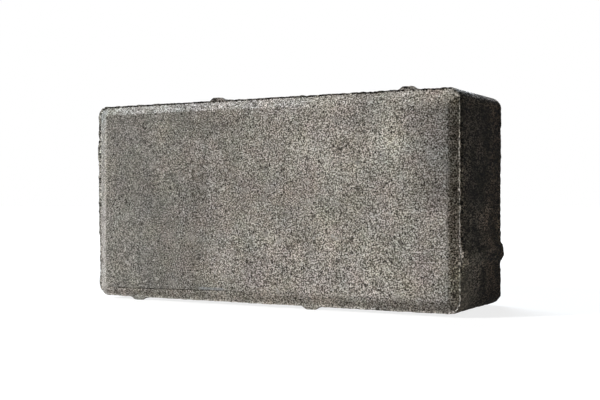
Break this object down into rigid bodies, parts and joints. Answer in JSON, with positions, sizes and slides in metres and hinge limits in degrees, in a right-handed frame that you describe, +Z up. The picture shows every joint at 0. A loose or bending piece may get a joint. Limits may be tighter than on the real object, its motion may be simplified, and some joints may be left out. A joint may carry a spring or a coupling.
{
  "type": "concrete paving stone",
  "caption": "Rectangular pressed concrete paving stone with a bevelled wear face, rounded corners and spacer nibs on its sides, for laying paths, yards and drives.",
  "frame": {"origin": "on the floor, under the middle of the stone, which stands on the crests of its two lower nibs", "axes": "+X along the stone's length, -Y out of the wear face, +Z up, across the stone's width"},
  "size_m": [0.2014, 0.06, 0.1015],
  "materials": {
    "concrete": "matte"
  },
  "bodies": {
    "root": {"paving_stone": "concrete"}
  },
  "joints": []
}
